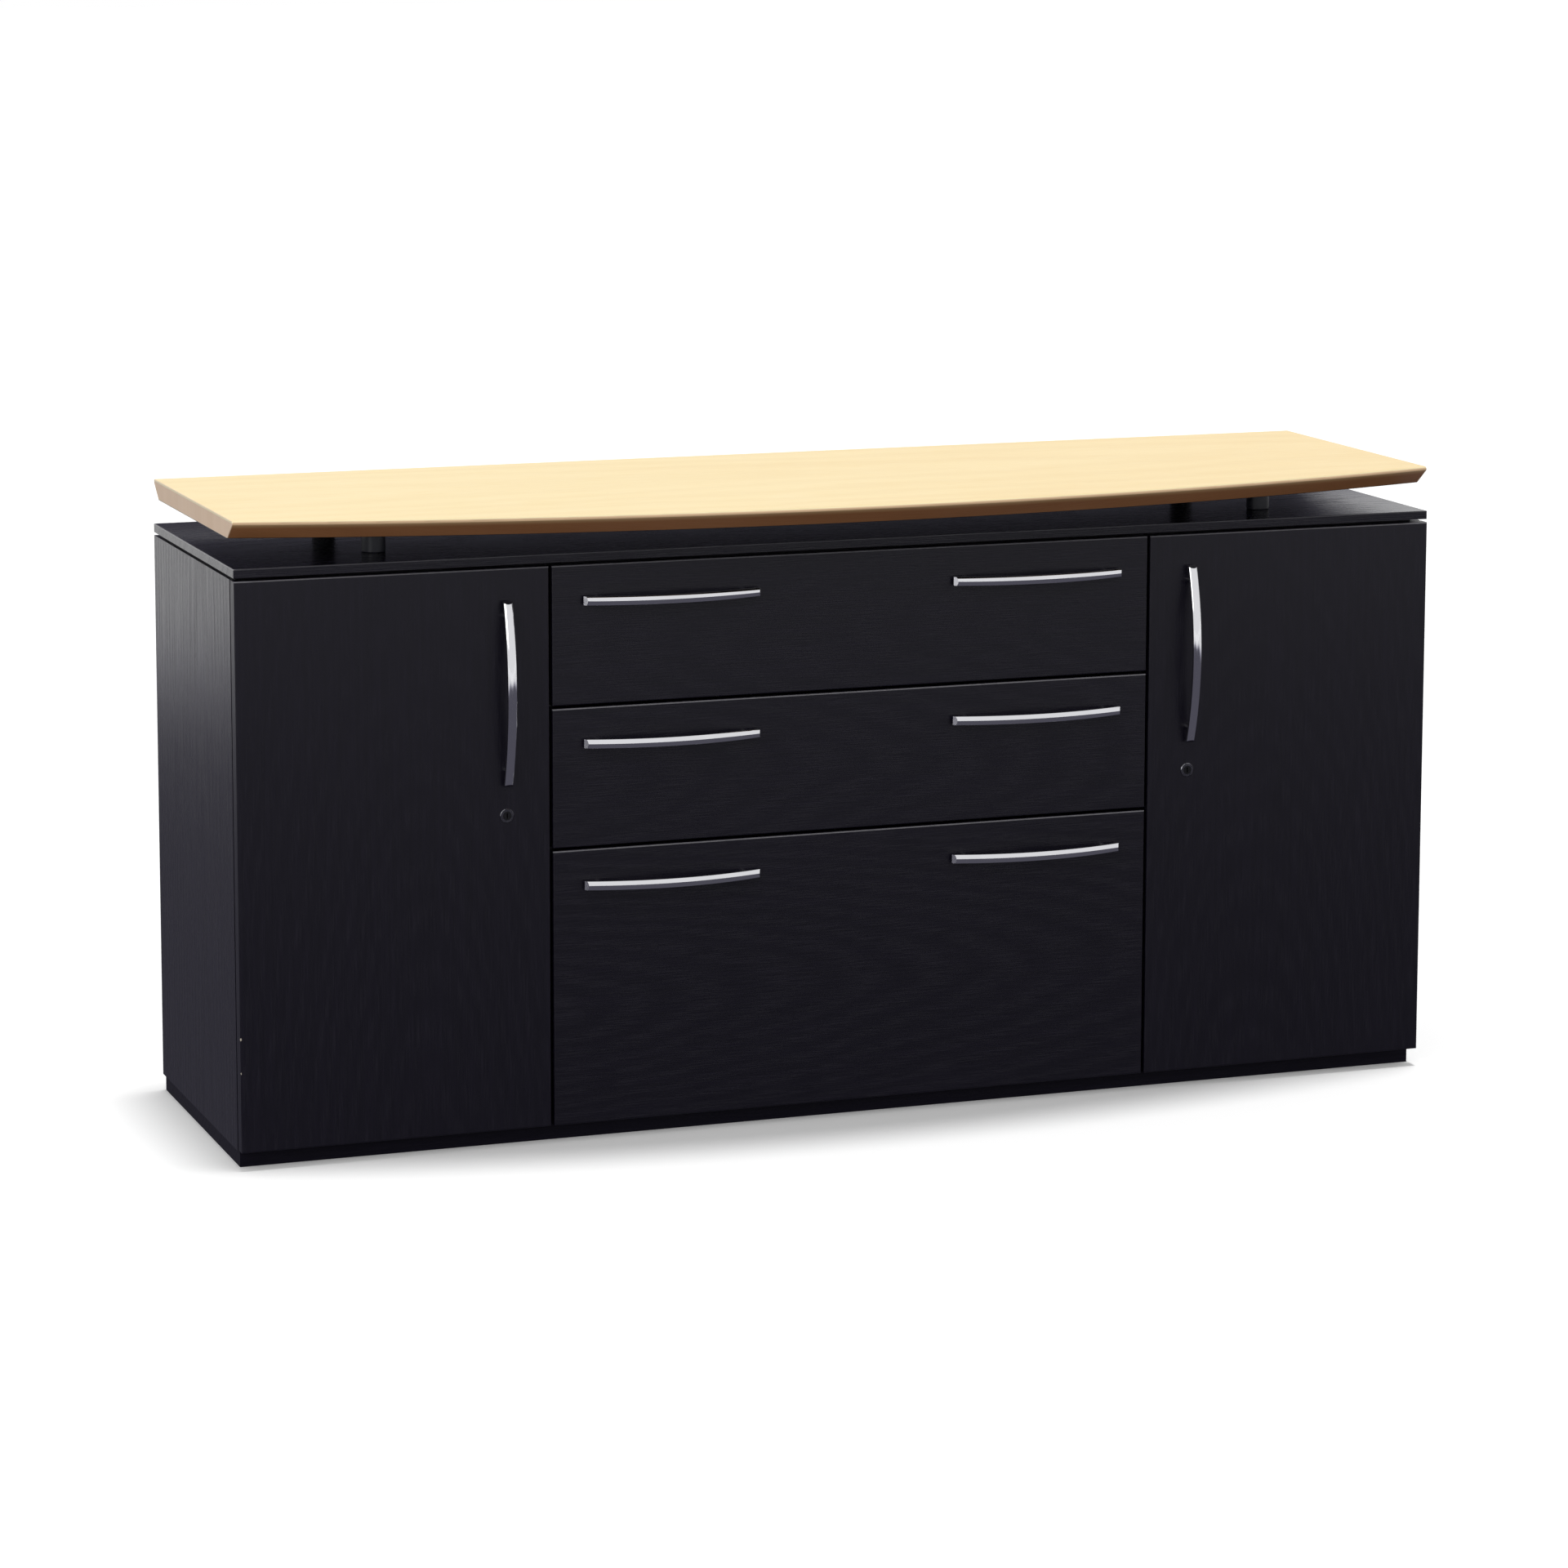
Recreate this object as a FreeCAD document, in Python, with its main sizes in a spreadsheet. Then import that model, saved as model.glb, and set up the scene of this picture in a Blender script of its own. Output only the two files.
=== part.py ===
import FreeCAD, Part
import math
import os
from types import SimpleNamespace

import Sketcher

# An office sideboard: a black veneered carcass with two hinged doors and three
# drawers, under a bow-fronted wooden top that floats on four posts.
# +X runs to the right, +Y to the back, +Z up. The origin is on the floor, in the
# middle of the sideboard's own box. Lengths are millimetres.

DOC = FreeCAD.newDocument("sideboard")
Vector = FreeCAD.Vector
Rotation = FreeCAD.Rotation

# Driving sizes
SIZES = (
    # Whole carcass
    ("overall_width", 1600.0),
    ("carcass_depth", 408.0),
    ("panel_thickness", 18.0),
    ("back_thickness", 8.0),
    ("plinth_height", 21.0),
    ("plinth_inset", 3.0),
    ("plinth_setback", 1.0),
    ("plinth_board", 16.0),
    # Door and drawer fronts
    ("drawer_front_width", 800.0),
    ("small_front_height", 175.0),
    ("large_front_height", 349.0),
    ("front_thickness", 18.0),
    ("front_gap", 4.0),
    ("front_foot_gap", 2.0),
    ("bumper_gap", 4.0),
    ("front_edge_radius", 1.5),
    # Cap panel on its shadow gap
    ("shadow_gap", 4.0),
    ("spacer_inset", 9.0),
    ("cap_thickness", 11.0),
    ("cap_setback", 2.0),
    ("cap_edge_radius", 0.8),
    # Posts and bolts that carry the wooden top
    ("post_height", 34.0),
    ("post_diameter", 29.5),
    ("post_chamfer", 0.8),
    ("post_end_distance", 200.0),
    ("front_post_depth", 96.0),
    ("back_post_depth", 339.0),
    ("bolt_diameter", 8.0),
    ("bolt_play", 0.2),
    ("bolt_head_diameter", 15.0),
    ("bolt_head_height", 5.0),
    ("bolt_grip", 12.0),
    # Bow-fronted wooden top
    ("top_thickness", 24.0),
    ("top_bow", 118.0),
    ("top_corner_setback", 5.0),
    ("top_back_inset", 5.0),
    ("top_nose", 4.5),
    ("top_bevel", 25.0),
    ("top_front_radius", 3.5),
    ("top_edge_radius", 1.0),
    # Shelves on pins
    ("shelf_thickness", 18.0),
    ("shelf_rise", 330.0),
    ("shelf_setback", 35.0),
    ("shelf_play", 0.5),
    ("pin_diameter", 5.0),
    ("pin_play", 0.05),
    ("pin_hole_depth", 9.0),
    ("pin_reach", 9.0),
    ("pin_row_distance", 50.0),
    ("pin_pitch", 32.0),
    # Bow handles and their screws
    ("handle_length", 235.0),
    ("handle_pitch", 192.0),
    ("handle_projection", 31.0),
    ("handle_bow", 19.0),
    ("handle_height", 11.0),
    ("handle_depth", 6.5),
    ("handle_crown", 2.2),
    ("handle_end_bevel", 5.5),
    ("handle_post", 8.0),
    ("drawer_handle_drop", 44.0),
    ("drawer_handle_end", 154.5),
    ("door_handle_drop", 155.0),
    ("door_handle_edge", 55.5),
    ("screw_diameter", 4.0),
    ("screw_play", 0.25),
    ("screw_grip", 7.0),
    ("screw_head_diameter", 8.0),
    ("screw_head_height", 2.4),
    # Concealed hinges
    ("hinge_end_distance", 110.0),
    ("cup_diameter", 35.0),
    ("cup_depth", 13.0),
    ("cup_edge", 5.0),
    ("cup_wall", 1.2),
    ("cup_play", 0.1),
    ("cup_wing_length", 62.0),
    ("cup_wing_width", 20.0),
    ("cup_wing_thickness", 1.5),
    ("cup_pin_edge", 13.0),
    ("cup_pin_depth", 14.0),
    ("arm_pin_edge", 34.0),
    ("arm_pin_depth", 10.0),
    ("hinge_pin_diameter", 3.0),
    ("hinge_pin_play", 0.05),
    ("knuckle_diameter", 6.0),
    ("link_thickness", 3.0),
    ("link_height", 6.4),
    ("link_play", 0.3),
    ("arm_height", 12.0),
    ("arm_width", 16.0),
    ("arm_length", 58.0),
    ("arm_neck", 5.0),
    ("plate_thickness", 3.0),
    ("plate_setback", 16.0),
    ("plate_length", 50.0),
    ("plate_height", 18.0),
    ("plate_wing_width", 12.0),
    ("plate_wing_height", 46.0),
    # Cylinder locks and their strikes
    ("lock_drop", 308.5),
    ("lock_diameter", 16.0),
    ("lock_flange", 18.0),
    ("lock_proud", 1.4),
    ("lock_tail", 6.0),
    ("plug_diameter", 11.0),
    ("plug_play", 0.05),
    ("plug_collar", 14.0),
    ("plug_collar_length", 2.0),
    ("collar_play", 0.3),
    ("key_slot_length", 7.0),
    ("key_slot_width", 1.6),
    ("key_slot_depth", 3.0),
    ("cam_thickness", 2.5),
    ("cam_width", 14.0),
    ("cam_reach", 36.0),
    ("strike_thickness", 2.0),
    ("strike_catch", 18.0),
    ("strike_leg", 30.0),
    ("strike_height", 26.0),
    ("strike_play", 1.0),
    # Drawer boxes
    ("box_lift", 20.0),
    ("box_headroom", 35.0),
    ("box_back_gap", 16.0),
    ("box_board", 12.0),
    ("box_floor", 6.0),
    ("box_floor_rise", 10.0),
    ("box_groove", 6.0),
    # Telescopic runners
    ("runner_space", 13.0),
    ("runner_height", 45.0),
    ("runner_steel", 1.5),
    ("runner_play", 0.4),
    ("runner_back_gap", 18.0),
    ("runner_rise", 40.0),
    ("runner_setback", 2.0),
)

PIN_HOLES = 5
TINY = 1e-4
FULL_TURN = 360.0

# The numbers by which a sketch knows its axes and the points of an edge
UPRIGHT_AXIS, LEVEL_AXIS = range(-2, 0)
START, END, CENTRE = range(1, 4)


def fill_sheet(rows):
    """The sheet that holds each driving size under its own name."""
    sheet = DOC.addObject("Spreadsheet::Sheet", "Sizes")
    for line, (name, value) in enumerate(rows, start=1):
        sheet.set(f"A{line}", name)
        sheet.set(f"B{line}", str(value))
        sheet.setAlias(f"B{line}", name)
    DOC.recompute()


class Size:
    """A length worked out from the sheet: the text that binds it and its present value."""

    def __init__(self, text, value):
        self.text = text
        self.value = value

    def _join(self, sign, other, value):
        return Size(f"({self.text} {sign} {other.text})", value)

    def __add__(self, other):
        other = as_size(other)
        return self._join("+", other, self.value + other.value)

    def __sub__(self, other):
        other = as_size(other)
        return self._join("-", other, self.value - other.value)

    def __mul__(self, other):
        other = as_size(other)
        return self._join("*", other, self.value * other.value)

    def __truediv__(self, other):
        other = as_size(other)
        return self._join("/", other, self.value / other.value)

    def __neg__(self):
        return Size(f"(0 - {self.text})", -self.value)


def as_size(number):
    """A plain number as a size, or the size itself."""
    if isinstance(number, Size):
        return number
    return Size(repr(float(number)), float(number))


def root(size):
    return Size(f"sqrt({size.text})", math.sqrt(size.value))


def arcsine(ratio):
    return Size(f"asin({ratio.text})", math.degrees(math.asin(ratio.value)))


def bearing(rise, run):
    """The angle of a line that climbs by rise over run."""
    angle = math.degrees(math.atan2(rise.value, run.value))
    return Size(f"atan2({rise.text}; {run.text})", angle)


def bow_radius(chord, rise):
    """The radius of an arc over a chord, from the arc's rise."""
    return (chord * chord / 4 + rise * rise) / (rise * 2)


fill_sheet(SIZES)
s = SimpleNamespace(**{name: Size(f"Sizes.{name}", value) for name, value in SIZES})
NODES = []

# Places worked out from the driving sizes
half_width = s.overall_width / 2
top_overhang = s.top_bow - s.top_corner_setback
face_y = (top_overhang - s.front_thickness - s.bumper_gap - s.carcass_depth) / 2
front_back_y = face_y + s.front_thickness
carcass_y = front_back_y + s.bumper_gap
carcass_back_y = carcass_y + s.carcass_depth
inner_back_y = carcass_back_y - s.back_thickness
inner_depth = s.carcass_depth - s.back_thickness
floor_z = s.plinth_height + s.panel_thickness
lower_front_z = s.plinth_height + s.front_foot_gap
middle_front_z = lower_front_z + s.large_front_height + s.front_gap
upper_front_z = middle_front_z + s.small_front_height + s.front_gap
fronts_top_z = upper_front_z + s.small_front_height
side_height = fronts_top_z - s.plinth_height
ceiling_z = fronts_top_z - s.panel_thickness
cap_z = fronts_top_z + s.shadow_gap
cap_top_z = cap_z + s.cap_thickness
top_z = cap_top_z + s.post_height
inner_half_width = half_width - s.panel_thickness
drawer_half = s.drawer_front_width / 2
door_width = half_width - drawer_half - s.front_gap
divider_in_x = drawer_half + s.front_gap / 2 - s.panel_thickness / 2
divider_out_x = divider_in_x + s.panel_thickness
post_x = half_width - s.post_end_distance
post_spots = [(side * post_x, face_y + depth)
              for depth in (s.front_post_depth, s.back_post_depth)
              for side in (as_size(-1), as_size(1))]
handle_radius = bow_radius(s.handle_length, s.handle_bow)
handle_axis_y = face_y - s.handle_projection + handle_radius
lock_x = drawer_half + s.front_gap + s.door_handle_edge
lock_z = fronts_top_z - s.lock_drop
shelf_z = floor_z + s.shelf_rise
shelf_front_y = carcass_y + s.shelf_setback
box_length = inner_back_y - s.box_back_gap - front_back_y
runner_length = inner_depth - s.runner_setback - s.runner_back_gap


# Small tools for binding shapes to the sheet

def bind(thing, prop, size):
    thing.setExpression(prop, as_size(size).text)


def place(thing, x, y, z, turn=None):
    """Put a shape where three sizes say, turned by a fixed rotation."""
    if turn is not None:
        thing.Placement = FreeCAD.Placement(Vector(), turn)
    for axis, size in zip("xyz", (x, y, z)):
        bind(thing, f"Placement.Base.{axis}", size)
    return thing


def node(label, thing):
    """Name a finished sub-part and keep it for writing."""
    thing.Label = label
    NODES.append(thing)
    return thing


def box(name, length, width, height, x, y, z):
    thing = DOC.addObject("Part::Box", name)
    for prop, size in (("Length", length), ("Width", width), ("Height", height)):
        bind(thing, prop, size)
    return place(thing, x, y, z)


def cylinder(name, diameter, height, x, y, z, turn=None):
    thing = DOC.addObject("Part::Cylinder", name)
    bind(thing, "Radius", diameter / 2)
    bind(thing, "Height", height)
    return place(thing, x, y, z, turn)


def fuse(name, shapes):
    thing = DOC.addObject("Part::MultiFuse", name)
    thing.Shapes = shapes
    return thing


def cut(name, base, tool):
    thing = DOC.addObject("Part::Cut", name)
    thing.Base = base
    thing.Tool = tool
    return thing


def mirrored(name, source):
    """The right-hand twin of a left-hand shape."""
    thing = DOC.addObject("Part::Mirroring", name)
    thing.Source = source
    thing.Normal = Vector(1, 0, 0)
    return thing


def group(name, shapes):
    """Several separate solids under one name."""
    thing = DOC.addObject("Part::Compound", name)
    thing.Links = shapes
    return thing


def pair(name, left):
    """A left-hand shape and its right-hand twin under one name."""
    return group(name, [left, mirrored(name + "_twin", left)])


def new_body(name):
    return DOC.addObject("PartDesign::Body", name)


def origin_part(body, role):
    for feature in body.Origin.OriginFeatures:
        if feature.Role == role:
            return feature
    raise ValueError(role)


def new_sketch(body, role, offset=None):
    """A sketch on one of the body's own planes, shifted along the plane's normal."""
    sketch = body.newObject("Sketcher::SketchObject", body.Name + "_sketch")
    sketch.AttachmentSupport = [(origin_part(body, role), "")]
    sketch.MapMode = "FlatFace"
    if offset is not None:
        bind(sketch, "AttachmentOffset.Base.z", offset)
    return sketch


def pin_point(sketch, edge, spot, across, along):
    """Tie a point of the sketch to its two coordinates."""
    axes = (("DistanceX", as_size(across), UPRIGHT_AXIS),
            ("DistanceY", as_size(along), LEVEL_AXIS))
    for kind, size, axis in axes:
        if size.value == 0:
            sketch.addConstraint(Sketcher.Constraint("PointOnObject", edge, spot, axis))
        else:
            rule = Sketcher.Constraint(kind, LEVEL_AXIS, START, edge, spot, size.value)
            bind(sketch, f"Constraints[{sketch.addConstraint(rule)}]", size)


def draw_polygon(sketch, points):
    """A closed outline of straight edges through points given as pairs of sizes."""
    first = sketch.GeometryCount
    count = len(points)
    spots = [Vector(as_size(a).value, as_size(b).value, 0) for a, b in points]
    for i in range(count):
        sketch.addGeometry(Part.LineSegment(spots[i], spots[(i + 1) % count]))
    for i in range(count):
        following = first + (i + 1) % count
        rule = Sketcher.Constraint("Coincident", first + i, END, following, START)
        sketch.addConstraint(rule)
    for i, (across, along) in enumerate(points):
        pin_point(sketch, first + i, START, across, along)
    return sketch


def draw_rectangle(sketch, low_x, low_y, high_x, high_y):
    corners = [(low_x, low_y), (high_x, low_y), (high_x, high_y), (low_x, high_y)]
    return draw_polygon(sketch, corners)


def draw_bowed(sketch, corners, radius, hub, hollow=False):
    """A closed outline of straight edges, shut by an arc from the last corner to the first."""
    spots = [Vector(as_size(a).value, as_size(b).value, 0) for a, b in corners]
    for start, end in zip(spots, spots[1:]):
        sketch.addGeometry(Part.LineSegment(start, end))
    centre = Vector(as_size(hub[0]).value, as_size(hub[1]).value, 0)
    turns = [math.atan2(spot.y - centre.y, spot.x - centre.x) for spot in (spots[-1], spots[0])]
    near_last, near_first = START, END
    if hollow:
        turns.reverse()
        near_last, near_first = END, START
    if turns[1] < turns[0]:
        turns[1] += math.tau
    circle = Part.Circle(centre, Vector(0, 0, 1), radius.value)
    arc = sketch.addGeometry(Part.ArcOfCircle(circle, *turns))
    last = len(corners) - 2
    joins = [(i, END, i + 1, START) for i in range(last)]
    joins += [(last, END, arc, near_last), (arc, near_first, 0, START)]
    for edge, end, other, start in joins:
        sketch.addConstraint(Sketcher.Constraint("Coincident", edge, end, other, start))
    for i, (across, along) in enumerate(corners[:-1]):
        pin_point(sketch, i, START, across, along)
    pin_point(sketch, last, END, *corners[-1])
    rule = Sketcher.Constraint("Radius", arc, radius.value)
    bind(sketch, f"Constraints[{sketch.addConstraint(rule)}]", radius)
    return sketch


def draw_circles(sketch, diameter, centres):
    for across, along in centres:
        spot = Vector(as_size(across).value, as_size(along).value, 0)
        edge = sketch.addGeometry(Part.Circle(spot, Vector(0, 0, 1), diameter.value / 2))
        rule = Sketcher.Constraint("Diameter", edge, diameter.value)
        bind(sketch, f"Constraints[{sketch.addConstraint(rule)}]", diameter)
        pin_point(sketch, edge, CENTRE, across, along)
    return sketch


def pad(body, sketch, length, reverse=False, middle=False):
    feature = body.newObject("PartDesign::Pad", body.Name + "_pad")
    feature.Profile = sketch
    feature.Reversed = reverse
    if middle:
        feature.SideType = "Symmetric"
    bind(feature, "Length", length)
    return feature


def pocket(body, sketch, length, reverse=False):
    feature = body.newObject("PartDesign::Pocket", body.Name + "_pocket")
    feature.Profile = sketch
    feature.Reversed = reverse
    bind(feature, "Length", length)
    return feature


def spin(body, sketch, kind="PartDesign::Revolution", angle=FULL_TURN, middle=False):
    """Turn an outline about the sketch's upright axis."""
    feature = body.newObject(kind, body.Name + "_spin")
    feature.Profile = sketch
    feature.ReferenceAxis = (sketch, ["V_Axis"])
    feature.Midplane = middle
    bind(feature, "Angle", angle)
    return feature


def turned_piece(name, outline):
    """A round piece from its half outline, as pairs of radius and height."""
    body = new_body(name)
    spin(body, draw_polygon(new_sketch(body, "XZ_Plane"), outline))
    return body


def soften(body, base, radius, belongs):
    """Round the edges whose ends satisfy a test."""
    DOC.recompute()
    names = []
    for index, edge in enumerate(base.Shape.Edges, start=1):
        if belongs([vertex.Point for vertex in edge.Vertexes]):
            names.append(f"Edge{index}")
    feature = body.newObject("PartDesign::Fillet", body.Name + "_fillet")
    feature.Base = (base, names)
    bind(feature, "Radius", radius)
    return feature


def near(a, b):
    return abs(a - b) < TINY


# Carcass

def slab(label, low_x, low_y, high_x, high_y, z, thickness, holes=(), edge_radius=None):
    """A level panel with bolt holes and, on a showing panel, softened upper edges."""
    body = new_body(label)
    sketch = new_sketch(body, "XY_Plane")
    draw_rectangle(sketch, low_x, low_y, high_x, high_y)
    draw_circles(sketch, s.bolt_diameter + s.bolt_play * 2, holes)
    base = pad(body, sketch, thickness)
    if edge_radius is not None:
        height = thickness.value
        reach = high_x.value
        soften(body, base, edge_radius, lambda ends: all(
            near(p.z, height) and near(abs(p.x), reach) for p in ends))
    place(body, 0, 0, z)
    return node(label, body)


def upright(label, x, z, depth, height, holes_on_right):
    """A standing panel with two rows of shelf-pin holes on its compartment side."""
    body = new_body(label)
    outline = draw_rectangle(new_sketch(body, "YZ_Plane"), 0, 0, depth, height)
    pad(body, outline, s.panel_thickness)
    rows = [shelf_front_y + s.pin_row_distance - carcass_y,
            inner_back_y - s.pin_row_distance - carcass_y]
    first_z = shelf_z - s.pin_diameter / 2 - s.pin_pitch * (PIN_HOLES // 2) - z
    offset = s.panel_thickness if holes_on_right else None
    drill = new_sketch(body, "YZ_Plane", offset)
    draw_circles(drill, s.pin_diameter + s.pin_play * 2, [(row, first_z) for row in rows])
    hole = pocket(body, drill, s.pin_hole_depth, reverse=not holes_on_right)
    pattern = body.newObject("PartDesign::LinearPattern", label + "_rows")
    pattern.Originals = [hole]
    pattern.Direction = (origin_part(body, "Z_Axis"), [""])
    pattern.Occurrences = PIN_HOLES
    bind(pattern, "Length", s.pin_pitch * (PIN_HOLES - 1))
    body.Tip = pattern
    place(body, x, carcass_y, z)
    return node(label, body)


def build_carcass():
    left_side = upright("left_side_panel", -half_width, s.plinth_height,
                        s.carcass_depth, side_height, True)
    node("right_side_panel", mirrored("right_side_panel", left_side))
    left_divider = upright("left_divider", -divider_out_x, floor_z,
                           inner_depth, ceiling_z - floor_z, False)
    node("right_divider", mirrored("right_divider", left_divider))
    slab("bottom_panel", -inner_half_width, carcass_y, inner_half_width, inner_back_y,
         s.plinth_height, s.panel_thickness)
    slab("carcass_top", -inner_half_width, carcass_y, inner_half_width, inner_back_y,
         ceiling_z, s.panel_thickness, post_spots)
    node("back_panel", box("back_panel", inner_half_width * 2, s.back_thickness, side_height,
                           -inner_half_width, inner_back_y, s.plinth_height))


def build_plinth():
    """A low frame of four boards, set in from the carcass's faces."""
    board = s.plinth_board
    reach_x = half_width - s.plinth_inset
    front = carcass_y + s.plinth_setback
    back = carcass_back_y - s.plinth_inset
    boards = [box(f"plinth_{name}", reach_x * 2, board, s.plinth_height, -reach_x, y, 0)
              for name, y in (("front", front), ("back", back - board))]
    boards += [box(f"plinth_{name}", board, back - front - board * 2, s.plinth_height,
                   x, front + board, 0)
               for name, x in (("left", -reach_x), ("right", reach_x - board))]
    node("plinth_frame", group("plinth_frame", boards))


def build_cap():
    """The cap panel, lifted off the carcass by a spacer that makes the shadow gap."""
    inset_x = half_width - s.spacer_inset
    slab("spacer_panel", -inset_x, carcass_y + s.spacer_inset, inset_x,
         carcass_back_y - s.spacer_inset, fronts_top_z, s.shadow_gap, post_spots)
    slab("cap_panel", -half_width, face_y + s.cap_setback, half_width, carcass_back_y,
         cap_z, s.cap_thickness, post_spots, s.cap_edge_radius)


def build_shelves():
    width = inner_half_width - divider_out_x - s.shelf_play * 2
    depth = inner_back_y - shelf_front_y - s.shelf_play
    left = box("left_shelf", width, depth, s.shelf_thickness,
               s.shelf_play - inner_half_width, shelf_front_y, shelf_z)
    node("left_shelf", left)
    node("right_shelf", mirrored("right_shelf", left))
    length = s.pin_hole_depth + s.pin_reach
    to_right = Rotation(Vector(0, 1, 0), 90)
    pins = []
    for row, y in (("front", shelf_front_y + s.pin_row_distance),
                   ("back", inner_back_y - s.pin_row_distance)):
        for side, x in (("side", -inner_half_width - s.pin_hole_depth),
                        ("divider", -divider_out_x - s.pin_reach)):
            pins.append(cylinder(f"{row}_{side}_pin", s.pin_diameter, length, x, y,
                                 shelf_z - s.pin_diameter / 2, to_right))
    node("shelf_pins", pair("shelf_pins", group("left_shelf_pins", pins)))


# Wooden top

def build_top():
    """A bow-fronted board, undercut along its long edges, with a rounded nose."""
    radius = bow_radius(s.overall_width, s.top_bow)
    corner_y = s.top_bow - radius
    board_depth = (s.front_thickness + s.bumper_gap + s.carcass_depth
                   - s.top_back_inset - s.top_corner_setback)
    back_y = corner_y + board_depth
    axis_y = face_y + s.top_corner_setback - corner_y
    body = new_body("wood_top")
    sketch = new_sketch(body, "XY_Plane")
    corners = [(half_width, corner_y), (half_width, back_y),
               (-half_width, back_y), (-half_width, corner_y)]
    pad(body, draw_bowed(sketch, corners, radius, (0, 0)), s.top_thickness)

    bevel_top = s.top_thickness - s.top_nose
    front_wedge = draw_polygon(new_sketch(body, "YZ_Plane"), [
        (s.top_bevel - radius, 0), (-radius, bevel_top),
        (-radius - s.top_bevel, bevel_top), (-radius - s.top_bevel, 0)])
    spin(body, front_wedge, "PartDesign::Groove")
    back_wedge = draw_polygon(new_sketch(body, "YZ_Plane"), [
        (back_y - s.top_bevel, 0), (back_y, bevel_top),
        (back_y + s.top_bevel, bevel_top), (back_y + s.top_bevel, 0)])
    trim = pocket(body, back_wedge, s.overall_width * 2)
    trim.SideType = "Symmetric"
    rounding = s.top_front_radius
    nose_y = rounding - radius
    nose_z = s.top_thickness - rounding
    clear_y = -radius - rounding
    clear_z = s.top_thickness + rounding
    nose = draw_bowed(new_sketch(body, "YZ_Plane"), [
        (nose_y, s.top_thickness), (nose_y, clear_z), (clear_y, clear_z),
        (clear_y, nose_z), (-radius, nose_z)], rounding, (nose_y, nose_z), hollow=True)
    spin(body, nose, "PartDesign::Groove")

    drill = new_sketch(body, "XY_Plane")
    draw_circles(drill, s.bolt_diameter + s.bolt_play * 2,
                 [(x, y - axis_y) for x, y in post_spots])
    holes = pocket(body, drill, s.bolt_grip + s.bolt_play, reverse=True)
    soften(body, holes, s.top_edge_radius, lambda ends: all(
        near(abs(p.x), half_width.value) and p.z > nose_z.value - TINY for p in ends)
        and (ends[0].x * ends[1].x > 0 or near(ends[0].y, back_y.value)))
    place(body, 0, axis_y, top_z)
    node("wood_top", body)


def build_posts():
    """Round posts between cap and top, each on a bolt from under the carcass top."""
    bore = s.bolt_diameter / 2 + s.bolt_play
    rim = s.post_diameter / 2
    inner_rim = rim - s.post_chamfer
    outline = [(bore, 0), (inner_rim, 0), (rim, s.post_chamfer),
               (rim, s.post_height - s.post_chamfer), (inner_rim, s.post_height),
               (bore, s.post_height)]
    shank = s.bolt_diameter / 2
    head = s.bolt_head_diameter / 2
    dome = s.bolt_head_height / 2
    length = top_z - ceiling_z + s.bolt_grip
    bolt = [(0, -s.bolt_head_height), (shank, -s.bolt_head_height), (head, -dome), (head, 0),
            (shank, 0), (shank, length), (0, length)]
    posts = []
    bolts = []
    for i, (x, y) in enumerate(post_spots, start=1):
        posts.append(place(turned_piece(f"post_{i}", outline), x, y, cap_top_z))
        bolts.append(place(turned_piece(f"post_bolt_{i}", bolt), x, y, ceiling_z))
    node("top_posts", group("top_posts", posts))
    node("post_bolts", group("post_bolts", bolts))


# Fronts and handles

def front_board(label, width, height, holes):
    """A front with softened face edges and clearance holes for its handle screws."""
    body = new_body(label)
    outline = draw_rectangle(new_sketch(body, "XZ_Plane"), 0, 0, width, height)
    base = pad(body, outline, s.front_thickness, reverse=True)
    soften(body, base, s.front_edge_radius, lambda ends: all(near(p.y, 0) for p in ends))
    drill = new_sketch(body, "XZ_Plane")
    draw_circles(drill, s.screw_diameter + s.screw_play * 2, holes)
    pocket(body, drill, s.front_thickness)
    return body


def handle(name, x, z, turn=None):
    """A bowed bar with a crowned face, on two short posts drilled for screws."""
    back = handle_radius - s.handle_depth
    face = handle_radius - s.handle_crown
    half = s.handle_height / 2
    crown_radius = bow_radius(s.handle_height, s.handle_crown)
    body = new_body(name)
    sketch = new_sketch(body, "YZ_Plane")
    corners = [(-face, -half), (-back, -half), (-back, half), (-face, half)]
    draw_bowed(sketch, corners, crown_radius, (crown_radius - handle_radius, 0))
    sine = s.handle_length / (handle_radius * 2)
    spin(body, sketch, angle=arcsine(sine) * 2, middle=True)

    # Each end is cut off at a slant, from the end's own face to the crown.
    cosine = root(as_size(1) - sine * sine)
    tip_radius = handle_radius - s.handle_end_bevel
    tip_x = tip_radius * sine
    tip_y = -tip_radius * cosine
    along = s.handle_end_bevel * 2 * (sine - cosine)
    out = s.handle_end_bevel * 2 * (sine + cosine)
    slants = new_sketch(body, "XY_Plane")
    for side in (as_size(-1), as_size(1)):
        draw_polygon(slants, [(side * tip_x, tip_y), (side * (tip_x + along), tip_y - out),
                              (side * (tip_x + out), tip_y + along)])
    trim = pocket(body, slants, s.handle_height * 2)
    trim.SideType = "Symmetric"

    foot = handle_radius - s.handle_projection
    reach = s.handle_pitch / 2
    bar_back = root(back * back - reach * reach)
    spots = [(-reach, 0), (reach, 0)]
    posts = draw_circles(new_sketch(body, "XZ_Plane", foot), s.handle_post, spots)
    pad(body, posts, bar_back - foot + s.handle_depth / 2)
    bores = new_sketch(body, "XZ_Plane", foot)
    draw_circles(bores, s.screw_diameter + s.screw_play * 2, spots)
    pocket(body, bores, s.screw_grip + s.screw_play, reverse=True)
    return place(body, x, handle_axis_y, z, turn)


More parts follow.
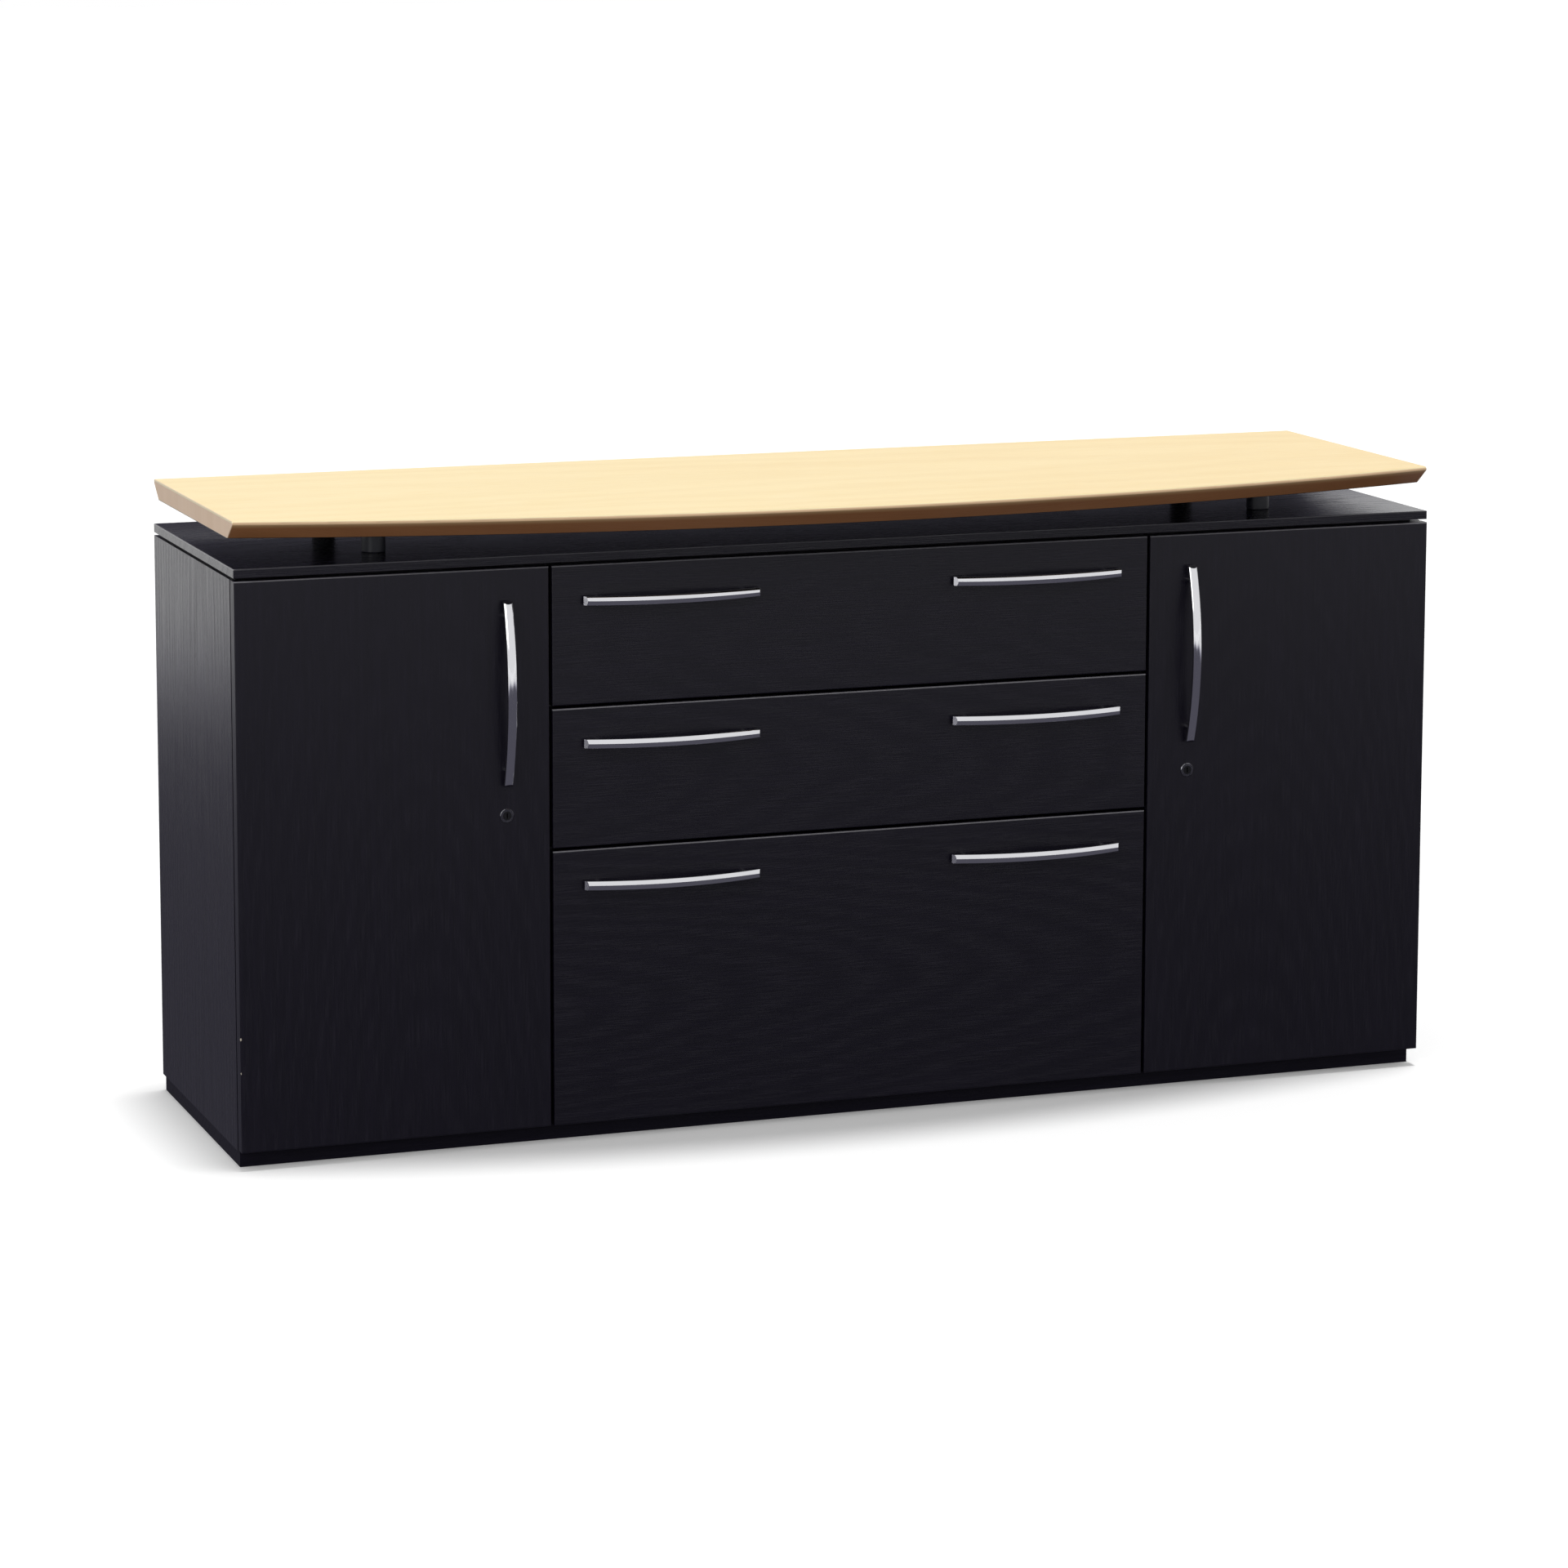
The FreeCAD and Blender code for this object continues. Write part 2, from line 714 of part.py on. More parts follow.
def handle_screw(name, x, z):
    shank = s.screw_diameter / 2
    head = s.screw_head_diameter / 2
    rim = s.screw_head_height / 2
    length = s.front_thickness + s.screw_grip
    outline = [(0, -s.screw_head_height), (shank, -s.screw_head_height), (head, -rim),
               (head, 0), (shank, 0), (shank, length), (0, length)]
    forward = Rotation(Vector(1, 0, 0), 90)
    return place(turned_piece(name, outline), x, front_back_y, z, forward)


# Doors

def build_doors():
    edge_x = -half_width
    handle_x = -lock_x
    handle_z = fronts_top_z - s.door_handle_drop
    height = fronts_top_z - lower_front_z
    reach = s.handle_pitch / 2
    local_x = handle_x - edge_x
    local_z = handle_z - lower_front_z
    door = front_board("left_door", door_width, height,
                       [(local_x, local_z - reach), (local_x, local_z + reach)])
    cups = new_sketch(door, "XZ_Plane", -s.front_thickness)
    cup_x = s.cup_edge + s.cup_diameter / 2
    draw_circles(cups, s.cup_diameter + s.cup_play * 2,
                 [(cup_x, s.hinge_end_distance), (cup_x, height - s.hinge_end_distance)])
    pocket(door, cups, s.cup_depth + s.cup_play, reverse=True)
    lock_hole = new_sketch(door, "XZ_Plane")
    draw_circles(lock_hole, s.lock_diameter + s.plug_play * 2,
                 [(local_x, lock_z - lower_front_z)])
    pocket(door, lock_hole, s.front_thickness)
    place(door, edge_x, face_y, lower_front_z)
    bar = handle("left_door_handle", handle_x, handle_z, Rotation(Vector(0, 1, 0), 90))
    screws = [handle_screw(f"left_door_{end}_screw", handle_x, handle_z + step)
              for end, step in (("lower", -reach), ("upper", reach))]
    for label, thing in (("door", door), ("door_handle", bar),
                         ("door_handle_screws", group("left_door_handle_screws", screws))):
        node(f"left_{label}", thing)
        node(f"right_{label}", mirrored(f"right_{label}", thing))


# Concealed hinges

def hinge_cup(name, z):
    """A drawn cup with a screw wing and the pin that its link turns on."""
    radius = s.cup_diameter / 2
    inner = radius - s.cup_wall
    to_back = Rotation(Vector(1, 0, 0), -90)
    centre_x = s.cup_edge + radius - half_width
    bottom_y = front_back_y - s.cup_depth
    shell = turned_piece(name + "_shell", [
        (0, 0), (radius, 0), (radius, s.cup_depth), (inner, s.cup_depth),
        (inner, s.cup_wall), (0, s.cup_wall)])
    place(shell, centre_x, bottom_y, z, to_back)
    wing = box(name + "_wing", s.cup_wing_width, s.cup_wing_thickness, s.cup_wing_length,
               centre_x - s.cup_wing_width / 4, front_back_y, z - s.cup_wing_length / 2)
    mouth = cylinder(name + "_mouth", inner * 2, s.cup_depth, centre_x,
                     front_back_y - s.cup_wall, z, to_back)
    pin_x = s.cup_pin_edge - half_width
    offset = centre_x - pin_x
    half_chord = root(inner * inner - offset * offset)
    pin = cylinder(name + "_pin", s.hinge_pin_diameter, half_chord * 2, pin_x,
                   face_y + s.cup_pin_depth, z - half_chord)
    return fuse(name, [shell, cut(name + "_open_wing", wing, mouth), pin])


def hinge_link(name, z):
    """A flat link with a bored knuckle at each end."""
    run = s.cup_pin_edge - s.arm_pin_edge
    rise = s.cup_pin_depth - s.arm_pin_depth
    slant = bearing(rise, run)
    span = root(run * run + rise * rise)
    low = z - s.link_height / 2
    body = new_body(name)
    sketch = new_sketch(body, "XY_Plane")
    half = s.link_thickness / 2
    draw_rectangle(sketch, 0, -half, span, half)
    pad(body, sketch, s.link_height)
    pad(body, draw_circles(new_sketch(body, "XY_Plane"), s.knuckle_diameter,
                           [(0, 0), (span, 0)]), s.link_height)
    bores = draw_circles(new_sketch(body, "XY_Plane"),
                         s.hinge_pin_diameter + s.hinge_pin_play * 2, [(0, 0), (span, 0)])
    pocket(body, bores, s.link_height, reverse=True)
    place(body, s.arm_pin_edge - half_width, face_y + s.arm_pin_depth, low,
          Rotation(Vector(0, 0, 1), slant.value))
    bind(body, "Placement.Rotation.Angle", slant)
    return body


def hinge_arm(name, z):
    """A cranked arm on the side panel, forked at its nose round the link's knuckle."""
    body = new_body(name)
    neck = s.arm_neck / 2
    nose_x = s.arm_pin_edge
    nose_y = s.arm_pin_depth
    low_x = s.panel_thickness + s.plate_thickness
    shoulder_y = s.front_thickness + s.bumper_gap + s.arm_neck
    tail_y = s.front_thickness + s.bumper_gap + s.arm_length
    high_x = low_x + s.arm_width
    outline = [(nose_x - neck, nose_y), (nose_x + neck, nose_y), (nose_x + neck, shoulder_y),
               (high_x, shoulder_y), (high_x, tail_y), (low_x, tail_y),
               (low_x, shoulder_y + s.arm_neck), (nose_x - neck, shoulder_y)]
    pad(body, draw_polygon(new_sketch(body, "XY_Plane"), outline), s.arm_height, middle=True)
    nose = draw_circles(new_sketch(body, "XY_Plane"), s.knuckle_diameter, [(nose_x, nose_y)])
    pad(body, nose, s.arm_height, middle=True)
    slot_half = s.link_height / 2 + s.link_play
    fork_depth = nose_y + s.knuckle_diameter / 2 + s.link_play
    slot = draw_rectangle(new_sketch(body, "YZ_Plane"), 0, -slot_half, fork_depth, slot_half)
    trim = pocket(body, slot, s.arm_length * 2)
    trim.SideType = "Symmetric"
    pin = draw_circles(new_sketch(body, "XY_Plane"), s.hinge_pin_diameter, [(nose_x, nose_y)])
    pad(body, pin, s.arm_height, middle=True)
    return place(body, -half_width, face_y, z)


def hinge_plate(name, z):
    """A cross-shaped mounting plate on the side panel."""
    body = new_body(name)
    half = s.plate_height / 2
    tall = s.plate_wing_height / 2
    wing_low = (s.plate_length - s.plate_wing_width) / 2
    wing_high = wing_low + s.plate_wing_width
    outline = [(0, -half), (wing_low, -half), (wing_low, -tall), (wing_high, -tall),
               (wing_high, -half), (s.plate_length, -half), (s.plate_length, half),
               (wing_high, half), (wing_high, tall), (wing_low, tall), (wing_low, half),
               (0, half)]
    pad(body, draw_polygon(new_sketch(body, "YZ_Plane"), outline), s.plate_thickness)
    return place(body, -inner_half_width, carcass_y + s.plate_setback, z)


def build_hinges():
    heights = (("lower", lower_front_z + s.hinge_end_distance),
               ("upper", fronts_top_z - s.hinge_end_distance))
    cups = group("left_hinge_cups", [hinge_cup(f"{end}_cup", z) for end, z in heights])
    links = group("left_hinge_links", [hinge_link(f"{end}_link", z) for end, z in heights])
    for label, thing in (("hinge_cups", cups), ("hinge_links", links)):
        node(f"left_{label}", thing)
        node(f"right_{label}", mirrored(f"right_{label}", thing))
    arms = group("left_hinge_arms", [hinge_arm(f"{end}_arm", z) for end, z in heights])
    plates = group("left_hinge_plates", [hinge_plate(f"{end}_plate", z) for end, z in heights])
    node("hinge_arms", pair("hinge_arms", arms))
    node("hinge_plates", pair("hinge_plates", plates))


# Locks

def build_locks():
    to_back = Rotation(Vector(1, 0, 0), -90)
    x = -lock_x
    nose_y = face_y - s.lock_proud
    barrel = s.lock_diameter / 2
    bore = s.plug_diameter / 2 + s.plug_play
    tail = s.lock_proud + s.front_thickness + s.lock_tail
    case = turned_piece("left_lock_case", [
        (bore, 0), (s.lock_flange / 2 - s.lock_proud / 2, 0),
        (s.lock_flange / 2, s.lock_proud / 2), (s.lock_flange / 2, s.lock_proud),
        (barrel, s.lock_proud), (barrel, tail), (bore, tail)])
    place(case, x, nose_y, lock_z, to_back)

    plug = s.plug_diameter / 2
    collar = s.plug_collar / 2
    collar_low = tail + s.collar_play
    collar_high = collar_low + s.plug_collar_length
    core = turned_piece("left_plug_core", [
        (0, 0), (plug, 0), (plug, collar_low), (collar, collar_low),
        (collar, collar_high), (0, collar_high)])
    place(core, x, nose_y, lock_z, to_back)
    slot = box("left_key_slot", s.key_slot_width, s.key_slot_depth, s.key_slot_length,
               x - s.key_slot_width / 2, nose_y, lock_z - s.key_slot_length / 2)
    cam_y = nose_y + collar_high
    cam_hub = cylinder("left_cam_hub", s.cam_width, s.cam_thickness, x, cam_y, lock_z, to_back)
    cam_arm = box("left_cam_arm", s.cam_width, s.cam_thickness, s.cam_reach,
                  x - s.cam_width / 2, cam_y, lock_z - s.cam_reach)
    slotted = cut("left_slotted_core", core, slot)
    turning = fuse("left_lock_plug", [slotted, cam_hub, cam_arm])
    for label, thing in (("lock_case", case), ("lock_plug", turning)):
        node(f"left_{label}", thing)
        node(f"right_{label}", mirrored(f"right_{label}", thing))

    # The strike's catch stands in front of the turned cam.
    catch_high = cam_y - s.strike_play
    catch_low = catch_high - s.strike_thickness
    body = new_body("left_strike")
    flat = s.strike_thickness
    outline = [(0, catch_low), (0, catch_low + s.strike_leg), (-flat, catch_low + s.strike_leg),
               (-flat, catch_high), (-s.strike_catch, catch_high), (-s.strike_catch, catch_low)]
    pad(body, draw_polygon(new_sketch(body, "XY_Plane"), outline), s.strike_height, middle=True)
    place(body, -divider_out_x, 0, lock_z)
    node("lock_strikes", pair("lock_strikes", body))


# Drawers

def channel(name, web_low, web_high, tip, half, height_z):
    """A C-section rail: its web between two depths, its flanges out to the tip."""
    body = new_body(name)
    inner = half - s.runner_steel
    outline = [(web_low, -half), (tip, -half), (tip, -inner), (web_high, -inner),
               (web_high, inner), (tip, inner), (tip, half), (web_low, half)]
    pad(body, draw_polygon(new_sketch(body, "XZ_Plane"), outline), runner_length, reverse=True)
    return place(body, -divider_in_x, carcass_y + s.runner_setback, height_z)


def build_runners(name, centre_z):
    """Three nested channels a side: on the divider, floating, and on the drawer."""
    steel = s.runner_steel
    play = s.runner_play
    half = s.runner_height / 2
    step = steel + play
    tip = s.runner_space - step - play
    rails = (
        ("cabinet_rails", as_size(0), steel, tip, half),
        ("middle_rails", step, step + steel, tip, half - step),
        ("drawer_rails", s.runner_space, s.runner_space - steel, step * 2, half - step * 2),
    )
    for kind, low, high, end, reach in rails:
        label = f"{name}_{kind}"
        node(label, pair(label, channel("left_" + label, low, high, end, reach, centre_z)))


def build_drawer(name, z, front_height):
    handle_x = s.drawer_handle_end - drawer_half
    handle_z = z + front_height - s.drawer_handle_drop
    reach = s.handle_pitch / 2
    centre = s.drawer_front_width
    local_z = front_height - s.drawer_handle_drop
    spots = [s.drawer_handle_end - reach, s.drawer_handle_end + reach]
    spots += [centre - spot for spot in spots]
    board = front_board(f"{name}_front", s.drawer_front_width, front_height,
                        [(spot, local_z) for spot in spots])
    place(board, -drawer_half, face_y, z)
    node(f"{name}_front", board)
    bar = handle(f"{name}_left_handle", handle_x, handle_z)
    node(f"{name}_handles", pair(f"{name}_handles", bar))
    screws = [handle_screw(f"{name}_{end}_screw", handle_x + step, handle_z)
              for end, step in (("outer", -reach), ("inner", reach))]
    node(f"{name}_handle_screws",
         pair(f"{name}_handle_screws", group(f"{name}_left_screws", screws)))

    box_z = z + s.box_lift
    box_height = front_height - s.box_lift - s.box_headroom
    side_x = s.runner_space - divider_in_x
    inner_x = side_x + s.box_board
    groove_x = inner_x - s.box_groove
    floor = box_z + s.box_floor_rise
    plain = box(f"{name}_plain_side", s.box_board, box_length, box_height,
                side_x, front_back_y, box_z)
    groove = box(f"{name}_groove", s.box_groove, box_length, s.box_floor,
                 groove_x, front_back_y, floor)
    node(f"{name}_sides", pair(f"{name}_sides", cut(f"{name}_left_side", plain, groove)))
    node(f"{name}_bottom", box(f"{name}_bottom", -groove_x * 2, box_length, s.box_floor,
                               groove_x, front_back_y, floor))
    back_z = floor + s.box_floor
    node(f"{name}_back", box(f"{name}_back", -inner_x * 2, s.box_board,
                             box_z + box_height - back_z, inner_x,
                             front_back_y + box_length - s.box_board, back_z))
    build_runners(name, box_z + s.runner_rise)


def write_parts():
    """Check every object, then write one file for each sub-part."""
    DOC.recompute()
    for thing in DOC.Objects:
        if "Invalid" in thing.State or "Error" in thing.State:
            raise RuntimeError(f"{thing.Name} did not build: {thing.State}")
    for thing in NODES:
        if thing.Shape.isNull() or not thing.Shape.isValid():
            raise RuntimeError(f"{thing.Label} has no sound shape")
    os.makedirs("parts", exist_ok=True)
    for thing in NODES:
        thing.Shape.exportStep(f"parts/{thing.Label}.step")
        print(f"{thing.Label}: {len(thing.Shape.Solids)} solids, {thing.Shape.Volume:.0f} mm3")
    print(len(NODES), "sub-parts")


build_carcass()
build_plinth()
build_cap()
build_shelves()
build_top()
build_posts()
build_doors()
build_hinges()
build_locks()
build_drawer("lower_drawer", lower_front_z, s.large_front_height)
build_drawer("middle_drawer", middle_front_z, s.small_front_height)
build_drawer("upper_drawer", upper_front_z, s.small_front_height)
write_parts()
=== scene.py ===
import math

import bpy
from mathutils import Matrix, Vector


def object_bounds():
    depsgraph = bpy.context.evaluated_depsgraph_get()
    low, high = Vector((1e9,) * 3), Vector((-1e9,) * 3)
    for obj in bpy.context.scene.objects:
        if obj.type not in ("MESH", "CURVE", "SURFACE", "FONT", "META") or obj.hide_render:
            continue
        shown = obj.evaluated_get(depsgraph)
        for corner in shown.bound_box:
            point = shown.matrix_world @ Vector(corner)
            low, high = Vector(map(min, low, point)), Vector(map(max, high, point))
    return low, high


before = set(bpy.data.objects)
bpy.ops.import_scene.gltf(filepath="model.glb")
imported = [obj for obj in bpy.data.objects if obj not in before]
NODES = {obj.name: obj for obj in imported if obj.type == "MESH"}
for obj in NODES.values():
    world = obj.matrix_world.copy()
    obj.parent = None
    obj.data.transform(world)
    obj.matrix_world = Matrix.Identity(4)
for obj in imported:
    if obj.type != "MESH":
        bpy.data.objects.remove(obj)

# The sideboard's looks: materials for the CAD nodes, soft light and the photograph's camera.
# Lengths are metres, in the CAD frame.

CAD_LOW, CAD_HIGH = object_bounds()


def colour(red, green, blue):
    return (red, green, blue, 1.0)


# Planes that meet in edges with painted highlight lines: an axis and the place on it

FRONT_FACE = ("Y", -0.1585)
FRONTS_TOP = ("Z", 0.730)
MIDDLE_DRAWER_TOP = ("Z", 0.551)
LOWER_DRAWER_TOP = ("Z", 0.372)
CAP_FACE = ("Y", -0.1565)
CAP_TOP = ("Z", 0.745)
CAP_LEFT_END = ("X", -0.8)
EDGE_WIDTH = 0.0019
EDGE_CORE = EDGE_WIDTH * 0.6

# Chips on the left door's outer edge: a middle and a radius each

DOOR_CHIPS = (((-0.7998, -0.1583, 0.1657), 0.0030), ((-0.7998, -0.1583, 0.1233), 0.0024))
CHIP_SOFT = 0.0006
CHIP_RAGGED = 0.0022

# Places on the wooden top. In a band, one look gives way to the next.

BOARD_LOW_Z = 0.779
UNDERCUT_TOP_Z = 0.7985
NOSE_RADIUS = 0.0035
# Below this band the board's underside is painted dark: painted shade
UNDERSIDE_SHADE_BAND = (BOARD_LOW_Z + 0.0008, BOARD_LOW_Z + 0.0004)
END_BAND = (CAD_HIGH.x - 0.0012, CAD_HIGH.x - 0.0006)
FRONT_BAND = (0.0, -0.05)

# Bands of the wooden top's nose and undercut, measured down from the undercut's top edge

UNDERCUT_BAND = (-0.0015, 0.0015)
# The undercut darkens downwards across this band: painted shade
UNDERCUT_SHADE_BAND = (-0.0015, 0.0065)
# The nose's top gets a painted highlight between these two bands
NOSE_HIGHLIGHT_START = (-0.0043, -0.0039)
NOSE_HIGHLIGHT_END = (-0.0012, -0.0024)
# The nose below its highlight gets painted shade across this band
NOSE_SHADE_BAND = (-0.0040, -0.0022)
NOSE_BAND = (0.0, -0.0008)

# Strengths of the smaller effects

RING_RELIEF = 0.25
PORE_DULLNESS = 0.13
WARM_SHARE = 0.8
FLECK_SHARE = 0.35
# How strong the painted highlight on the nose is
NOSE_HIGHLIGHT_SHARE = 0.7
CUT_TURN = (0.45, 0.6)
CUT_LEAN = 0.18
CUT_DULLNESS = 0.12

# Colours. A pair holds the two ends of a tone.

WHITE = colour(1.0, 1.0, 1.0)
BLACK = colour(0.0, 0.0, 0.0)
CLOTH = colour(0.97, 0.94, 1.20)
BLACK_STAIN = (colour(0.0036, 0.0027, 0.0082), colour(0.0064, 0.0048, 0.0130))
# Pale lines along edges: a painted highlight
EDGE_HIGHLIGHT = colour(0.30, 0.293, 0.32)
BARE_WOOD = colour(0.62, 0.56, 0.46)
MAPLE = (colour(0.95, 0.775, 0.435), colour(0.87, 0.675, 0.33))
WARM_MAPLE = (colour(0.94, 0.735, 0.385), colour(0.86, 0.63, 0.29))
MAPLE_FLECK = colour(0.74, 0.52, 0.24)
MAPLE_END = (colour(0.86, 0.62, 0.43), colour(0.78, 0.545, 0.36))
# The nose's pale line: a painted highlight
NOSE_HIGHLIGHT = colour(0.97, 0.90, 0.60)
# The tan on the nose's lower part: painted shade
NOSE_SHADE = colour(0.86, 0.60, 0.37)
# A brown lipping on the undercut; its darker lower tone is painted shade
UNDERCUT_EDGE = (colour(0.60, 0.40, 0.21), colour(0.52, 0.32, 0.15))
UNDERCUT = (colour(0.35, 0.155, 0.064), colour(0.28, 0.115, 0.044))
# The top's dark underside: painted shade
UNDERSIDE_SHADE = (colour(0.030, 0.022, 0.016), colour(0.022, 0.016, 0.012))
PALE_BOARD = (colour(0.60, 0.495, 0.345), colour(0.49, 0.39, 0.26))
CHROME = (colour(0.64, 0.64, 0.665), colour(0.70, 0.70, 0.725))
# The end cuts' brighter chrome: a painted highlight
CUT_HIGHLIGHT_CHROME = colour(0.86, 0.86, 0.88)
ZINC = (colour(0.50, 0.51, 0.52), colour(0.64, 0.65, 0.66))
BLACK_NICKEL = (colour(0.14, 0.14, 0.155), colour(0.19, 0.19, 0.205))
POST_PAINT = (colour(0.022, 0.023, 0.035), colour(0.030, 0.031, 0.046))
LOCK_PAINT = (colour(0.008, 0.008, 0.009), colour(0.014, 0.014, 0.016))


# Node tools

class Graph:
    """A material's nodes, with short calls to add them and join them up."""

    def __init__(self, name):
        self.material = bpy.data.materials.new(name)
        self.material.use_nodes = True
        self.tree = self.material.node_tree
        self.shader = self.tree.nodes["Principled BSDF"]

    def put(self, socket, value):
        """Set an input to a constant, or join an output to it."""
        if isinstance(value, bpy.types.NodeSocket):
            self.tree.links.new(value, socket)
        else:
            socket.default_value = value

    def add(self, kind, inputs=(), **settings):
        made = self.tree.nodes.new(kind)
        for name, value in settings.items():
            setattr(made, name, value)
        for key, value in dict(inputs).items():
            self.put(made.inputs[key], value)
        return made

    def math(self, operation, a, b=0.0, clamp=False):
        made = self.add("ShaderNodeMath", {0: a, 1: b}, operation=operation, use_clamp=clamp)
        return made.outputs[0]

    def times(self, a, b):
        return self.math("MULTIPLY", a, b)

    def plus(self, a, b):
        return self.math("ADD", a, b)

    def less(self, a, b):
        return self.math("SUBTRACT", a, b)

    def vector(self, x, y, z):
        return self.add("ShaderNodeCombineXYZ", {0: x, 1: y, 2: z}).outputs[0]

    def noise(self, vector, scale, detail, roughness=0.5):
        made = self.add("ShaderNodeTexNoise", {
            "Vector": vector, "Scale": scale, "Detail": detail, "Roughness": roughness})
        return made.outputs["Fac"]

    def stretched_noise(self, x, y, z, scales, detail, roughness=0.5):
        """Noise whose scale differs from axis to axis."""
        spot = [self.times(value, scale) for value, scale in zip((x, y, z), scales)]
        return self.noise(self.vector(*spot), 1.0, detail, roughness)

    def ramp(self, value, low, high):
        """Value taken from low..high to 0..1, with soft ends."""
        made = self.add("ShaderNodeMapRange", {
            "Value": value, "From Min": low, "From Max": high, "To Min": 0.0, "To Max": 1.0},
            interpolation_type="SMOOTHSTEP")
        return made.outputs["Result"]

    def between(self, value, low, high):
        """A number that goes from low to high as value goes from 0 to 1."""
        made = self.add("ShaderNodeMapRange", {
            "Value": value, "From Min": 0.0, "From Max": 1.0, "To Min": low, "To Max": high})
        return made.outputs["Result"]

    def mix(self, factor, a, b):
        """A colour that goes from a to b as factor goes from 0 to 1."""
        made = self.add("ShaderNodeMix", data_type="RGBA")
        self.put(made.inputs[0], factor)
        self.put(made.inputs[6], a)
        self.put(made.inputs[7], b)
        return made.outputs[2]

    def lean(self, factor, a, b):
        """A normal that goes from a to b as factor goes from 0 to 1."""
        made = self.add("ShaderNodeMix", data_type="VECTOR")
        self.put(made.inputs[0], factor)
        self.put(made.inputs[4], a)
        self.put(made.inputs[5], b)
        return self.add("ShaderNodeVectorMath", {0: made.outputs[1]},
                        operation="NORMALIZE").outputs[0]

    def bump(self, height, strength, distance, normal=None):
        made = self.add("ShaderNodeBump", {"Height": height, "Strength": strength,
                                           "Distance": distance})
        if normal is not None:
            self.put(made.inputs["Normal"], normal)
        return made.outputs[0]

    def facing(self):
        """The surface's normal in the CAD frame, for nodes that never turn."""
        return self.add("ShaderNodeTexCoord").outputs["Normal"]

    def spot(self):
        """The point in the CAD frame, at rest."""
        return self.add("ShaderNodeTexCoord").outputs["Object"]

    def place(self):
        """The point's three coordinates."""
        split = self.add("ShaderNodeSeparateXYZ", {0: self.spot()})
        return split.outputs[0], split.outputs[1], split.outputs[2]

    def finish(self, **sockets):
        """Set the shader's inputs, with _ for each blank in a name."""
        for name, value in sockets.items():
            self.put(self.shader.inputs[name.replace("_", " ")], value)
        return self.material


# Wood

def grain_axes(g, grain):
    """The coordinates along and across the grain. Across runs over both other axes."""
    axes = dict(zip("XYZ", g.place()))
    along = axes.pop(grain)
    return along, g.plus(*axes.values())


def cathedral(g, along, across, centre, start, spread, pitch, wander):
    """Growth rings cut flat: long nested arches about a centre line."""
    drift = g.stretched_noise(along, across, 0.0, scales=(2.2, 7.0, 1.0), detail=3.0)
    side = g.less(across, centre)
    rise = g.times(g.less(along, start), spread)
    ring = g.math("SQRT", g.plus(g.times(side, side), g.times(rise, rise)))
    ring = g.plus(ring, g.times(drift, wander))
    wave = g.math("SINE", g.times(ring, math.tau / pitch))
    return g.times(g.plus(wave, 1.0), 0.5)


def pores(g, along, across, width, length, low, high):
    """Fine streaks along the grain, where their noise lies between low and high or above."""
    streaks = g.stretched_noise(along, across, 0.0, scales=(1.0 / length, 1.0 / width, 1.0),
                                detail=2.0, roughness=0.6)
    return g.ramp(streaks, low, high)


def edge_highlight_lines(g, lines):
    """How strong the painted highlight lines along edges are, each given by a share and the two
    planes that meet in it.
    """
    axes = dict(zip("XYZ", g.place()))
    painted_highlight = 0.0
    for share, *planes in lines:
        strip = share
        for axis, value in planes:
            away = g.math("ABSOLUTE", g.less(axes[axis], value))
            strip = g.times(strip, g.ramp(away, EDGE_WIDTH, EDGE_CORE))
        painted_highlight = g.math("MAXIMUM", painted_highlight, strip)
    patchy = g.between(g.noise(g.spot(), scale=160.0, detail=3.0), low=0.5, high=1.1)
    return g.times(painted_highlight, patchy)


def chip_mask(g, middle, radius):
    """1 inside a ragged chip."""
    spot = g.spot()
    reach = g.add("ShaderNodeVectorMath", {0: spot, 1: middle}, operation="DISTANCE")
    ragged = g.times(g.noise(spot, scale=900.0, detail=2.0), CHIP_RAGGED)
    return g.ramp(g.plus(reach.outputs["Value"], ragged), radius, radius - CHIP_SOFT)


def black_veneer(name, grain, centre, start, spread, relief, rough=0.33, shine=0.35,
                 stretch=1.0, lines=(), chips=()):
    """Black-stained open-grain veneer under a satin lacquer."""
    g = Graph(name)
    along, across = grain_axes(g, grain)
    rings = cathedral(g, along, across, centre, start, spread, pitch=0.014, wander=0.035 / stretch)
    fine = pores(g, along, across, width=0.0011, length=0.045 * stretch, low=0.42, high=0.68)
    broad = pores(g, along, across, width=0.006, length=0.22 * stretch, low=0.35, high=0.7)
    open_grain = g.times(fine, g.between(rings, low=0.35, high=1.0))
    shade = g.mix(g.times(g.plus(open_grain, broad), 0.5), *BLACK_STAIN)
    if lines:
        # Pale lines along the given edges: painted highlights
        shade = g.mix(edge_highlight_lines(g, lines), shade, EDGE_HIGHLIGHT)
    for middle, radius in chips:
        shade = g.mix(chip_mask(g, middle, radius), shade, BARE_WOOD)
    height = g.less(g.times(rings, RING_RELIEF), open_grain)
    return g.finish(Base_Color=shade, Roughness=g.between(open_grain, rough, rough + PORE_DULLNESS),
                    Specular_IOR_Level=shine, Normal=g.bump(height, relief, distance=0.0004))


def nose_normal(g, y, z, under, inner):
    """The top's normal. On the nose it follows the height, to shade evenly along the bow."""
    above = g.less(z, CAD_HIGH.z - NOSE_RADIUS)
    rise = g.math("DIVIDE", above, NOSE_RADIUS, clamp=True)
    run = g.math("SQRT", g.less(1.0, g.times(rise, rise)))
    roll = g.vector(0.0, g.times(run, -1.0), rise)
    nose = g.times(g.ramp(under, *NOSE_BAND), g.ramp(y, *FRONT_BAND))
    return g.lean(g.times(nose, inner), g.facing(), roll)


